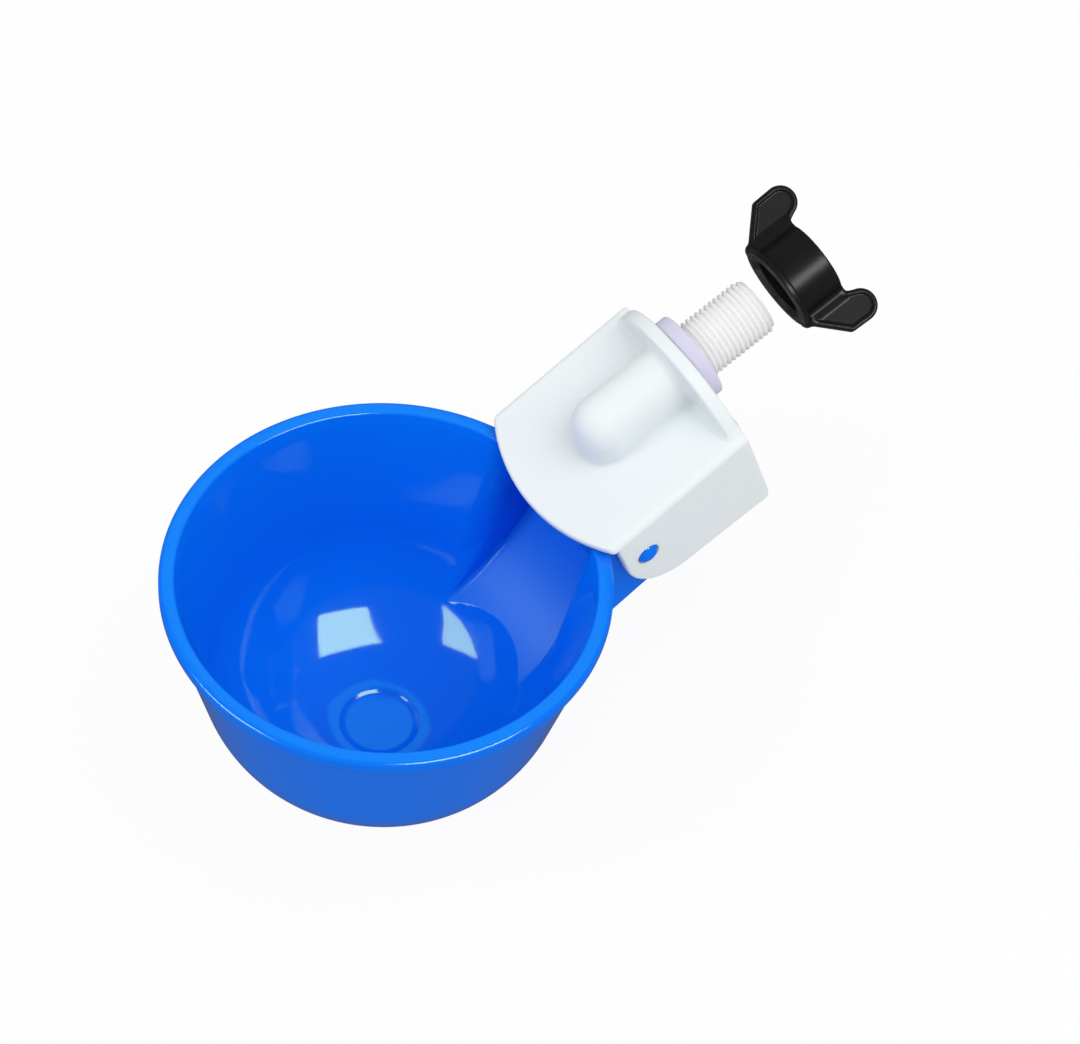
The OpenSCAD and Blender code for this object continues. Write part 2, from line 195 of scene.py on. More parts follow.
def lathe(name: str, profile: Array, turns: int, place: Callable[[Array], Array]) -> Piece:
    """A closed profile of radius and height turned about an axis.

    The surface is (r cos a, r sin a, h) for each profile point (r, h) and angle a.

    Args:
        name: the object's name.
        profile: outline of radius and height, closed or from axis to axis.
        turns: points round the circle.
        place: carries points from the lathe's own frame to the part's frame.

    Returns:
        The turned object.
    """
    angle = np.linspace(0, ROUND, turns, endpoint=False)[:, None]
    radius, height = profile[None, :, 0], profile[None, :, 1]
    points = np.stack([radius * np.cos(angle), radius * np.sin(angle), height + 0 * angle], -1)
    on_axis = bool(np.all(profile[[0, -1], 0] < 1e-9))
    quads = grid_quads(turns, len(profile), True, not on_axis)
    return new_object(name, place(points), quads)


def prism(name: str, outline: Array, half: float, edge: float) -> Piece:
    """An outline in Y and Z drawn out across X, with its edges rounded.

    Args:
        name: the object's name.
        outline: closed outline of Y and Z.
        half: half the prism's width.
        edge: radius of the rounded edges, or 0 for sharp ones.

    Returns:
        The prism.
    """
    count = len(outline)
    sides = [np.column_stack([np.full(count, x), outline]) for x in (-half, half)]
    obj = new_object(name, np.concatenate(sides), tube_faces(2, count))
    if edge:
        tool = obj.modifiers.new("edges", "BEVEL")
        tool.width = edge * MM
        tool.segments = 6
        tool.limit_method = "ANGLE"
        tool.angle_limit = np.radians(35)
        tool.use_clamp_overlap = True
        bake(obj)
    return obj


def bake(obj: Piece) -> None:
    """Replaces an object's mesh by what its modifiers make of it."""
    bpy.context.view_layer.update()
    shown = obj.evaluated_get(bpy.context.evaluated_depsgraph_get())
    mesh = bpy.data.meshes.new_from_object(shown)
    obj.modifiers.clear()
    obj.data = mesh


def combine(obj: Piece, tool: Piece, operation: str) -> None:
    """Joins tool to obj or cuts it out of obj, and removes tool.

    Args:
        obj: the object that is changed.
        tool: the second solid.
        operation: UNION or DIFFERENCE.
    """
    step = obj.modifiers.new("solid", "BOOLEAN")
    step.operation = operation
    step.solver = "MANIFOLD"
    step.object = tool
    bake(obj)
    bpy.data.objects.remove(tool, do_unlink=True)


def smooth(obj: Piece, angle: float) -> Piece:
    """Shades an object smooth apart from edges that are sharper than angle degrees.

    The normals are weighted by the faces' areas, so that narrow faces along a cut
    don't bend them. It returns the object.
    """
    mesh = obj.data
    mesh.polygons.foreach_set("use_smooth", np.ones(len(mesh.polygons), bool))
    mesh.set_sharp_from_angle(angle=np.radians(angle))
    weigh = obj.modifiers.new("normals", "WEIGHTED_NORMAL")
    weigh.mode = "FACE_AREA"
    weigh.weight = 60
    weigh.keep_sharp = True
    bake(obj)
    return obj


def round_or(a: Array, b: Array, radius: float) -> Array:
    """Distance to two solids joined with a hollow fillet of that radius."""
    inner = np.hypot(np.maximum(radius - a, 0), np.maximum(radius - b, 0))
    return np.maximum(np.minimum(a, b), radius) - inner


def round_and(a: Array, b: Array, radius: float) -> Array:
    """Distance to what two solids share, with the edge between them rounded."""
    outer = np.hypot(np.maximum(a + radius, 0), np.maximum(b + radius, 0))
    return np.minimum(np.maximum(a, b), -radius) + outer


def outline_distance(y: Array, z: Array, outline: Array) -> Array:
    """Signed distance from points to a closed outline, negative inside, in the shape of y.

    For each stretch, the nearest point is the foot of the perpendicular, held between
    the stretch's ends, and the sign turns each time a level ray crosses a stretch.
    """
    best = np.full(y.shape, np.inf)
    sign = np.ones(y.shape)
    for (y0, z0), (y1, z1) in zip(outline, np.roll(outline, -1, axis=0)):
        run_y, run_z = y1 - y0, z1 - z0
        share = ((y - y0) * run_y + (z - z0) * run_z) / (run_y**2 + run_z**2)
        share = np.clip(share, 0, 1)
        best = np.minimum(best, np.hypot(y - y0 - share * run_y, z - z0 - share * run_z))
        if run_z:
            crosses = ((z0 > z) != (z1 > z)) & (y < run_y * (z - z0) / run_z + y0)
            sign = np.where(crosses, -sign, sign)
    return sign * best


@dataclass(frozen=True)
class Skin:
    """Turns a distance field into a closed mesh whose points lie on its zero surface."""

    field: Callable[[Array], Array]
    step: float
    rounds: int = 6

    def slope(self, points: Array) -> Array:
        """Gradient of the field by central differences."""
        nudge = self.step / 8
        shifts = nudge * np.eye(3)
        rises = [self.field(points + s) - self.field(points - s) for s in shifts]
        return np.stack(rises, -1) / (2 * nudge)

    def settle(self, points: Array) -> Array:
        """Moves points down or up the gradient until the field is zero there."""
        for _ in range(3):
            slope = self.slope(points)
            size = np.maximum((slope**2).sum(-1, keepdims=True), 0.05)
            move = self.field(points)[..., None] * slope / size
            points = points - np.clip(move, -self.step, self.step)
        return points

    def mesh(self, name: str, low: Array, high: Array) -> Piece:
        """Puts one point in each cell that the surface crosses and a quad round each crossed edge.

        Args:
            name: the object's name.
            low: lowest corner of the box to search.
            high: highest corner of that box.

        Returns:
            The object, shaded smooth with the field's own normals.
        """
        axes = [np.arange(a, b + self.step, self.step) for a, b in zip(low, high)]
        nodes = np.stack(np.meshgrid(*axes, indexing="ij"), -1)
        inside = self.field(nodes) < 0
        size = np.array(inside.shape)
        count = np.zeros(size - 1, int)
        for dx, dy, dz in np.ndindex(2, 2, 2):
            count += inside[dx : size[0] - 1 + dx, dy : size[1] - 1 + dy, dz : size[2] - 1 + dz]
        mixed = (count > 0) & (count < 8)
        number = np.full(mixed.shape, -1)
        number[mixed] = np.arange(mixed.sum())
        cells = np.argwhere(mixed)
        points = self.settle(np.asarray(low) + (cells + 0.5) * self.step)
        quads = np.concatenate([self.crossed(inside, number, axis) for axis in range(3)])
        return self.build(name, self.relax(points, quads), quads)

    def over(self, name: str, node: str, room: float) -> Piece:
        """Makes the mesh in the box of a node, with some room on each side."""
        low, high = box_mm(node)
        return self.mesh(name, low - room, high + room)

    def crossed(self, inside: Array, number: Array, axis: int) -> Array:
        """Quads round the grid edges along one axis whose ends differ."""
        first = np.moveaxis(inside, axis, 0)
        cell = np.moveaxis(number, axis, 0)
        changes = first[:-1, 1:-1, 1:-1] != first[1:, 1:-1, 1:-1]
        i, j, k = np.nonzero(changes)
        corners = [cell[i, j, k], cell[i, j + 1, k], cell[i, j + 1, k + 1], cell[i, j, k + 1]]
        quads = np.stack(corners, -1)
        flip = first[:-1, 1:-1, 1:-1][i, j, k] ^ (axis == 1)
        return np.where(flip[:, None], quads, quads[:, ::-1])

    def relax(self, points: Array, quads: Array) -> Array:
        """Evens out the points: each moves half-way to its neighbours' mean and settles again."""
        ends = np.concatenate([quads[:, [n, (n + 1) % 4]] for n in range(4)])
        ends = np.concatenate([ends, ends[:, ::-1]])
        weight = np.bincount(ends[:, 0], minlength=len(points))[:, None]
        for _ in range(self.rounds):
            total = np.stack(
                [np.bincount(ends[:, 0], points[ends[:, 1], n], len(points)) for n in range(3)], -1
            )
            points = self.settle(points * 0.5 + total / np.maximum(weight, 1) * 0.5)
        return points

    def build(self, name: str, points: Array, quads: Array) -> Piece:
        """Makes the object and gives it the field's normals."""
        mesh = bpy.data.meshes.new(name)
        mesh.from_pydata((points * MM).tolist(), [], quads.tolist())
        mesh.polygons.foreach_set("use_smooth", np.ones(len(quads), bool))
        slope = self.slope(points)
        normals = slope / np.maximum(np.linalg.norm(slope, axis=-1, keepdims=True), 1e-6)
        mesh.normals_split_custom_set_from_vertices(normals.tolist())
        return add_object(name, mesh)


@dataclass(frozen=True)
class Tree:
    """The node tree of a material or a world, filled node by node."""

    data: bpy.types.NodeTree

    def add(self, kind: str, inputs: dict[str | int, object], **settings: object) -> bpy.types.Node:
        """Adds a node.

        Args:
            kind: the node's type without its first word, ShaderNode.
            inputs: what goes into its inputs, as fill takes it.
            settings: the node's own settings, made before its inputs are filled.
        """
        node = self.data.nodes.new("ShaderNode" + kind)
        for name, value in settings.items():
            setattr(node, name, value)
        self.fill(node, inputs)
        return node

    def fill(self, node: bpy.types.Node, inputs: dict[str | int, object]) -> None:
        """Fills a node's inputs by name or number: an output is linked, any other value is set."""
        for name, value in inputs.items():
            if isinstance(value, Socket):
                self.data.links.new(value, node.inputs[name])
            else:
                node.inputs[name].default_value = value

    def mix(self, share: Socket, first: Socket, second: Socket) -> Socket:
        """Two shaders mixed, with that share of the second."""
        return self.add("MixShader", {0: share, 1: first, 2: second}).outputs[0]

    def between(self, low: float, high: float, share: Socket) -> Socket:
        """A value that goes from low to high with the share."""
        return self.add("MapRange", {"To Min": low, "To Max": high, "Value": share}).outputs["Result"]

    def noise(self, place: Socket, scale: float, detail: float) -> Socket:
        """Noise from 0 to 1."""
        return self.add("TexNoise", {"Scale": scale, "Detail": detail, "Vector": place}).outputs["Fac"]


@dataclass(frozen=True)
class Finish:
    """Plastic, rubber or wire: its colour drifts a little, and its gloss and surface are faintly uneven."""

    name: str
    colour: Triple
    shade: Triple
    roughness: float
    grain: float = 900.0
    lift: float = 0.00002
    bump: float = 0.35
    drift: float = 45.0
    swing: float = 0.12
    glow: float = 0.0
    glow_reach: float = 0.002
    specular: float = 0.5
    dull: float = 0.0
    dull_specular: float = 0.4
    metal: float = 0.0

    def make(self) -> bpy.types.Material:
        """Builds the material's nodes on Object coordinates.

        The attribute "dull" is 1 on faces with the duller finish, and 0 elsewhere.
        """
        material = bpy.data.materials.new(self.name)
        material.use_nodes = True
        tree = Tree(material.node_tree)
        place = tree.add("TexCoord", {}).outputs["Object"]
        drift = tree.noise(place, self.drift, 3.0)
        tones = {"A": (*self.colour, 1), "B": (*self.shade, 1), "Factor": drift}
        gloss = tree.between(self.roughness * (1 - self.swing), self.roughness * (1 + self.swing), drift)
        dull = tree.add("Attribute", {}, attribute_name="dull").outputs["Fac"]
        rough = tree.add("Math", {0: dull, 1: self.dull, 2: gloss}, operation="MULTIPLY_ADD")
        fine = tree.noise(place, self.grain, 2.0)
        relief = {"Strength": self.bump, "Distance": self.lift, "Height": fine}
        inputs = {
            "Base Color": tree.add("Mix", tones, data_type="RGBA").outputs["Result"],
            "Roughness": rough.outputs[0],
            "Specular IOR Level": tree.between(self.specular, self.specular * self.dull_specular, dull),
            "Normal": tree.add("Bump", relief).outputs["Normal"],
            "Metallic": self.metal,
            "Subsurface Weight": self.glow,
            "Subsurface Scale": self.glow_reach,
            "Subsurface Radius": (1.0, 1.0, 1.0),
        }
        tree.fill(tree.data.nodes["Principled BSDF"], inputs)
        return material


def dress(obj: Piece, material: bpy.types.Material) -> None:
    """Gives an object one material."""
    obj.data.materials.clear()
    obj.data.materials.append(material)


def install(obj: Piece, body: Body, nodes: tuple[str, ...], slot: str) -> None:
    """Puts a piece on its body, in place of its nodes, and reports it."""
    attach(obj, body.value)
    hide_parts(*nodes)
    triangles = sum(len(face.vertices) - 2 for face in obj.data.polygons)
    LOG.info("%s: %d triangles, rides on %s", obj.name, triangles, body.value)


@dataclass
class Hinge:
    """Where the bowl turns, and how far the empty bowl stands up from level."""

    y: float
    z: float
    raised: float

    def from_level(self, points: Array) -> Array:
        """Carries points of the level bowl, measured from the hinge, to the raised bowl's place."""
        turn = np.radians(-self.raised)
        x, y, z = points[..., 0], points[..., 1], points[..., 2]
        up = self.z + y * np.sin(turn) + z * np.cos(turn)
        return np.stack([x, self.y + y * np.cos(turn) - z * np.sin(turn), up], -1)


def find_hinge() -> Hinge:
    """Reads the hinge from the frame's own joint."""
    joint = next(j for j in frame["joints"] if j["name"] == "bowl_tilt")
    place = np.array(joint["pos_m"]) / MM
    return Hinge(y=float(place[1]), z=float(place[2]), raised=float(joint["range_deg"][1]))


@dataclass
class Bowl:
    """The blue moulding: bowl, doorway, trough, cheeks and trunnions."""

    hinge: Hinge
    rim_r: float
    reach: float = 38.5
    rise: float = 3.4
    rim_h: float = 2.0
    rim_step: float = 1.0
    rim_round: float = 0.55
    lip_round: float = 0.35
    lip_edge: float = 0.3
    wall: float = 2.0
    mouth_wall: float = 2.07
    taper: float = 0.27
    height: float = 41.0
    floor_r: float = 6.6
    curve: float = 23.0
    mark_r: float = 6.3
    mark_deep: float = 0.25
    mark_lean: float = 0.12
    cheek_out: float = 13.6
    cheek_t: float = 2.0
    cheek_r: float = 4.2
    cheek_front: float = -12.0
    slope: float = 27.7
    deep: float = 13.3
    back: float = 14.8
    pad_deep: float = 2.2
    pad_w: float = 4.8
    pad_front: float = 8.7
    pad_gap: float = 0.3
    door_w: float = 21.0
    door_start: float = -42.2
    door_edge: float = 3.0
    edge_least: float = 0.05
    edge_growth: float = 0.6
    hair: float = 0.01
    hair_growth: float = 0.15
    slot_y: float = -15.0
    slot_reach: float = 9.0
    slot_half: float = 16.0
    slot_top: float = 8.0
    slot_low: float = -35.0
    slot_round: float = 0.8
    slot_step: float = 0.3
    ramp_r: float = 34.0
    ramp_a: float = -25.0
    ramp_c: Pair = (-32.7, 2.3)
    trunnion_r: float = 1.85
    trunnion_end: float = 16.9
    dome: float = 1.0
    edge: float = 0.35
    pad_edge: float = 0.25
    over: float = 20.0
    turns: int = 256
    facet: float = 0.9

    @property
    def mouth(self) -> float:
        """Inner radius of the bowl, where its wall's line meets the rim's top."""
        return self.rim_r - self.rim_step + self.taper * self.rim_h - self.mouth_wall

    def side(self, top: Pair, radius: float) -> Array:
        """Wall and curve below a point: a straight tangent, then an arc to the floor."""
        centre = np.array([self.floor_r, self.curve - self.height])
        gap = np.array(top) - centre
        touch = np.degrees(np.arctan2(gap[1], gap[0]) - np.arccos(radius / np.hypot(*gap)))
        return join([top], arc(tuple(centre), radius, touch, -90, 64))

    def inside(self, out: float) -> Array:
        """The inner side of wall and curve, moved outwards."""
        top = (self.mouth + out - self.taper * self.rim_h, -self.rim_h)
        return self.side(top, self.curve - self.wall + out)[:-1]

    def profile(self) -> Array:
        """Closed outline of the bowl in radius and height below the rim."""
        wall_top, turn, edge = self.rim_r - self.rim_step, self.lip_round, self.lip_edge
        low = self.wall - self.height
        deep = low - self.mark_deep
        outside = self.side((wall_top, -self.rim_h - turn), self.curve)
        lip = join(
            arc((wall_top + turn, -self.rim_h - turn), turn, 180, 90, 8),
            arc((self.rim_r - edge, -self.rim_h + edge), edge, -90, 0, 8),
            arc((self.rim_r - self.rim_round, -self.rim_round), self.rim_round, 0, 90, 8),
            arc((self.mouth + turn, -turn), turn, 90, 165, 6),
        )
        mark = [(self.mark_r, low), (self.mark_r - self.mark_lean, deep), (0, deep)]
        line = join([(0, -self.height)], outside[::-1], lip, self.inside(0), [(self.floor_r, low)], mark)
        return resample(line, self.facet)

    def at_axis(self, points: Array) -> Array:
        """Carries the bowl's own frame to the raised place."""
        return self.hinge.from_level(points + np.array([0, -self.reach, self.rise]))

    def underside(self, front: float, rear: float, lift: float) -> list[Pair]:
        """The trough's underside between two places along Y, lifted."""
        return [(y, y * np.tan(np.radians(self.slope)) - self.deep + lift) for y in (front, rear)]

    def cheek_line(self) -> Array:
        """Side outline of the trough and its cheeks."""
        reach = np.hypot(self.back, self.pad_deep)
        lean = np.degrees(np.arccos(self.cheek_r / reach) - np.arctan2(self.pad_deep, self.back))
        top, front = self.rise - self.rim_h, self.cheek_front
        return join(
            self.underside(front, self.back, 0),
            [(self.back, -self.pad_deep)],
            arc((0, 0), self.cheek_r, lean, 145, 16),
            [(-self.cheek_r, top), (front, top)],
        )

    def trough_line(self) -> Array:
        """Side outline of the space in the trough."""
        front = self.ramp_c[0] + self.ramp_r * np.cos(np.radians(self.ramp_a)) - 1
        rear, behind = self.back - self.wall, self.back + 1
        lift = self.wall / np.cos(np.radians(self.slope))
        return join(
            self.underside(front, rear, lift),
            [(rear, -self.pad_deep), (behind, -self.pad_deep), (behind, self.over), (front, self.over)],
        )

    def ramp_line(self, radius: float, top: float, start: float = -75.0) -> Array:
        """Side outline of the ramp: an arc about the ramp's centre, closed at a level top."""
        curve = arc(self.ramp_c, radius, start, self.ramp_a, 40)
        return join(curve, [(curve[-1, 0], top), (curve[0, 0], top)])

    def doorway(self, p: Array) -> Array:
        """Distance to the doorway's space in the level bowl, measured from the hinge.

        It is the bowl's space joined with an upright slot. The fillet between them rounds
        the wall's edge, by a radius that grows with the height above the ramp. The ramp
        closes the slot below. The bowl's space is drawn in by a hair, and by more beyond
        the rounding, so that only the slot and the rounding reach into the wall.
        """
        out = np.hypot(p[..., 0], p[..., 1] + self.reach) - self.floor_r
        high = p[..., 2] - self.rise - self.curve + self.height
        radius = self.curve - self.wall
        top = self.side((self.rim_r - self.rim_step - self.mouth_wall, -self.rim_h), radius)[1]
        lean = (top - [self.floor_r, self.curve - self.height]) / radius
        wall = np.where(
            out * lean[1] < high * lean[0], out * lean[0] + high * lean[1], np.hypot(out, high)
        )
        ramp = np.hypot(p[..., 1] - self.ramp_c[0], p[..., 2] - self.ramp_c[1]) - self.ramp_r
        edge = np.clip(-self.edge_growth * ramp, self.edge_least, self.door_edge)
        beside = np.abs(p[..., 0]) - self.door_w / 2
        hair = self.hair + self.hair_growth * np.maximum(beside - edge, 0)
        slot = round_or(wall - radius + hair, beside, edge)
        ends = np.maximum(np.abs(p[..., 1] - self.slot_y) - self.slot_reach, p[..., 2] - self.slot_top)
        ends = np.maximum(ends, np.abs(p[..., 0]) - self.slot_half)
        return round_and(round_and(slot, ramp, self.slot_round), ends, self.slot_round)

    def slot(self) -> Piece:
        """The doorway's space as a solid in the raised place."""
        room = 1.0
        half, reach = self.slot_half + room, self.slot_reach + room
        low = np.array([-half, self.slot_y - reach, self.slot_low - room])
        high = np.array([half, self.slot_y + reach, self.slot_top + room])
        return self.to_place(Skin(self.doorway, self.slot_step).mesh("slot", low, high))

    def level_prism(self, name: str, outline: Array, half: float, edge: float) -> Piece:
        """A prism of the level bowl, put in the raised place."""
        return self.to_place(prism(name, outline, half, edge))

    def to_place(self, obj: Piece) -> Piece:
        """Turns a piece of the level bowl up about the hinge, in its mesh."""
        turn = Matrix.Rotation(np.radians(-self.hinge.raised), 4, "X")
        shift = Matrix.Translation((0, self.hinge.y * MM, self.hinge.z * MM))
        obj.data.transform(shift @ turn)
        return obj

    def build(self) -> Piece:
        """Turns the bowl, joins trough and trunnions, and cuts the doorway and the trough's space."""
        cup = lathe("cup_shell", self.profile(), self.turns, self.at_axis)
        half_in = self.cheek_out - self.cheek_t
        ramp = self.ramp_line(self.ramp_r + self.wall, self.rise - self.rim_h)
        for name, line, half in (
            ("cheeks", self.cheek_line(), self.cheek_out),
            ("ramp", ramp, self.door_w / 2 + self.wall),
        ):
            block = self.level_prism(name, line, half, self.edge)
            combine(block, self.hollow(), "DIFFERENCE")
            combine(cup, block, "UNION")
        combine(cup, self.level_prism("trough", self.trough_line(), half_in, 0), "DIFFERENCE")
        door = self.ramp_line(self.ramp_r, self.over, self.door_start)
        combine(cup, self.level_prism("door", door, self.door_w / 2, 0), "DIFFERENCE")
        combine(cup, self.slot(), "DIFFERENCE")
        for added in (self.pad(), self.trunnion_side(1), self.trunnion_side(-1)):
            combine(cup, added, "UNION")
        smooth(cup, 20)
        self.dull_ramp(cup)
        return cup

    def dull_ramp(self, cup: Piece) -> None:
        """Marks the ramp's faces in the attribute "dull": they lie on its arc and face its centre."""
        off_arc, facing_least = 0.02, 0.99
        mesh = cup.data
        middle, normal = np.zeros((2, len(mesh.polygons), 3))
        mesh.polygons.foreach_get("center", middle.reshape(-1))
        mesh.polygons.foreach_get("normal", normal.reshape(-1))
        centre = self.hinge.from_level(np.array([0.0, *self.ramp_c]))
        radial = (middle / MM - centre)[:, 1:]
        out = np.linalg.norm(radial, axis=-1)
        facing = -(radial * normal[:, 1:]).sum(-1) / out
        on_ramp = (np.abs(out - self.ramp_r) < off_arc) & (facing > facing_least)
        on_ramp &= np.abs(middle[:, 0]) < self.door_w / 2 * MM
        layer = mesh.attributes.new("dull", "FLOAT", "FACE")
        layer.data.foreach_set("value", on_ramp.astype(np.float32))

    def hollow(self) -> Piece:
        """The space inside the bowl and half its wall: a block cut by it ends in the wall."""
        half_wall, facet = self.wall / 2, 2.0
        mouth, low = self.mouth + half_wall, half_wall - self.height
        top = [(0, self.over), (mouth, self.over), (mouth, 0)]
        line = join(top, self.inside(half_wall), [(self.floor_r, low), (0, low)])
        return lathe("bowl_space", resample(line, facet), self.turns, self.at_axis)

    def pad(self) -> Piece:
        """The pad in the trough that lifts the plunger."""
        front, rear = self.pad_front, self.back - self.pad_gap
        top = [(rear, -self.pad_deep), (front, -self.pad_deep)]
        line = join(self.underside(front, rear, self.wall / 2), top)
        return self.level_prism("pad", line, self.pad_w / 2, self.pad_edge)

    def trunnion_side(self, side: int) -> Piece:
        """One trunnion with its domed end, rooted in its cheek."""
        root = self.cheek_out - self.cheek_t / 2
        angle = np.radians(np.linspace(0, 90, 13))
        length = self.trunnion_end - self.dome + self.dome * np.sin(angle)
        cap = np.stack([self.trunnion_r * np.cos(angle), length], -1)
        line = join([(0, root), (self.trunnion_r, root)], cap)
        return lathe("trunnion", line, 48, lambda p: self.hinge.from_level(p[..., [2, 0, 1]] * [side, 1, 1]))


@dataclass
class Hood:
    """The white moulding: roof, skirts, arch, tunnel and valve boss."""

    hinge: Hinge
    half: float
    back: float
    skirt_z: float
    arch_z: float
    nose: float
    roof_z: float = -2.5
    fall: float = 4.4
    roof_t: float = 1.5
    skirt_t: float = 2.2
    back_t: float = 2.4
    skirt_len: float = 26.5
    skirt_r: float = 9.4
    heel_r: float = 1.6
    nose_r: float = 29.6
    edge_r: float = 1.2
    arch_r: float = 15.6
    tunnel_r: float = 5.0
    tunnel_y: float = -18.3
    valve_y: float = -14.0
    boss_r: float = 5.3
    chamber_r: float = 3.8
    guide_r: float = 4.15
    seat_h: float = 0.6
    seat_w: float = 0.6
    port_r: float = 1.1
    spigot_r: float = 3.65
    spigot_len: float = 9.5
    passage_r: float = 2.2
    hole_r: float = 1.95
    hole_from: float = 9.0
    edge: float = 0.45
    inner_edge: float = 0.8
    nose_edge: float = 0.5
    boss_edge: float = 0.3
    bore_edge: float = 0.15
    step: float = 0.32

    def roof(self, p: Array) -> Array:
        """Distance above the sloping roof's top face."""
        lean = np.radians(self.fall)
        return (p[..., 2] - self.roof_z) * np.cos(lean) - p[..., 1] * np.sin(lean)

    def box_parts(self, p: Array) -> Array:
        """Distance to roof and skirts, open below and in front."""
        x, y, z = p[..., 0], p[..., 1], p[..., 2]
        front = self.back - self.skirt_len
        roof = self.roof(p)
        side = np.abs(x) - self.half
        nose = np.hypot(x, y - (self.nose + self.nose_r)) - self.nose_r
        corner = round_and(front - y, self.skirt_z - z, self.skirt_r)
        heel = round_and(y - self.back, self.skirt_z - z, self.heel_r)
        outer = round_and(np.maximum(corner, heel), round_and(side, roof, self.edge_r), self.edge)
        outer = round_and(outer, nose, self.edge)
        inner = np.maximum(np.abs(x) - (self.half - self.skirt_t), y - (self.back - self.back_t))
        inner = round_and(inner, roof + self.roof_t, self.inner_edge)
        shell = round_and(outer, -inner, self.edge)
        plate = round_and(round_and(side, roof, self.edge_r), -(roof + self.roof_t), self.edge)
        plate = round_and(round_and(plate, nose, self.nose_edge), y - self.back, self.edge)
        return np.minimum(shell, plate)

    def tunnel(self, p: Array) -> Array:
        """Distance to the tunnel: a round bar with a domed end, its lower half drawn straight down."""
        along = np.minimum(p[..., 1] - self.tunnel_y, 0)
        out = np.hypot(p[..., 0], along)
        bar = np.hypot(out, np.maximum(p[..., 2], 0)) - self.tunnel_r
        bar = np.maximum(bar, p[..., 1] - (self.back - 0.5))
        return np.maximum(bar, -(self.roof(p) + self.roof_t / 2))

    def wall(self, p: Array) -> Array:
        """Distance to the back wall with its arch."""
        x, y, z = p[..., 0], p[..., 1], p[..., 2]
        middle = self.back - self.back_t / 2
        slab = np.abs(y - middle) - self.back_t / 2
        centre = self.arch_z - self.arch_r
        arch = np.hypot(x, z - centre) - self.arch_r
        level = np.where(z > centre, arch, np.abs(x) - self.half)
        heel = round_and(y - self.back, self.skirt_z - z, self.heel_r)
        heel = np.where(z < centre, heel, -self.arch_r)
        level = np.maximum.reduce([level, self.skirt_z - z, heel])
        return round_and(slab, level, self.edge)

    def bores(self, p: Array) -> Array:
        """Distance to the passages, the valve chamber and the trunnions' holes."""
        x, y, z = p[..., 0], p[..., 1], p[..., 2]
        axis = np.hypot(x, z)
        spigot = np.maximum(axis - self.spigot_r, (self.back - self.spigot_len) - y)
        passage = np.maximum(axis - self.passage_r, (self.valve_y - self.passage_r) - y)
        drop = np.hypot(x, y - self.valve_y)
        ceiling = -self.roof_t + self.roof_z + self.valve_y * np.tan(np.radians(self.fall))
        port = np.maximum(drop - self.port_r, np.maximum(z, ceiling - 2 - z))
        chamber = np.maximum(drop - self.chamber_r, z - ceiling)
        seat = np.maximum(drop - self.port_r - self.seat_w, (ceiling - self.seat_h) - z)
        chamber = np.maximum(chamber, -seat)
        pivots = np.hypot(y - self.hinge.y, z - self.hinge.z) - self.hole_r
        pivots = np.maximum(pivots, self.hole_from - np.abs(x))
        guide = np.maximum(drop - self.guide_r, z - box_mm("plunger_guide")[1][2])
        return np.minimum.reduce([spigot, passage, port, chamber, guide, pivots])

    def boss(self, p: Array) -> Array:
        """Distance to the valve boss under the roof."""
        drop = np.hypot(p[..., 0], p[..., 1] - self.valve_y) - self.boss_r
        low = box_mm("plunger_guide")[0][2]
        body = round_and(drop, low - p[..., 2], self.boss_edge)
        return np.maximum(body, self.roof(p) + 0.5)

    def distance(self, p: Array) -> Array:
        """Distance to the whole hood; the arch's fillet ends at the roof and before the sides."""
        above = np.clip(self.roof(p) + 0.8, 0, 1)
        inward = np.clip((self.half - 0.4 - np.abs(p[..., 0])) / 3, 0, 1)
        behind = np.clip((p[..., 1] - self.tunnel_y + 2) / 6, 0, 1)
        body = round_or(self.box_parts(p), self.boss(p), 0.5)
        body = round_or(body, self.tunnel(p), 0.6 + 0.6 * behind)
        body = round_or(body, self.wall(p), 0.02 + 1.6 * above * inward)
        return round_and(body, -self.bores(p), self.bore_edge)

    def build(self) -> Piece:
        """Meshes the hood."""
        return Skin(self.distance, self.step).over("hood_shell", "housing", 1.0)


@dataclass
class Thread:
    """A pipe thread: crests, roots and pitch."""

    crest: float = 4.865
    root: float = 4.32
    pitch: float = 0.907
    steep: float = 1.6

    def radius(self, y: Array, angle: Array) -> Array:
        """Radius at a place along Y and an angle: a cosine from root to crest with steeper flanks."""
        phase = ROUND * (y / self.pitch - angle / ROUND)
        wave = np.tanh(self.steep * np.cos(phase)) / np.tanh(self.steep)
        return self.root + (self.crest - self.root) * (0.5 + 0.5 * wave)


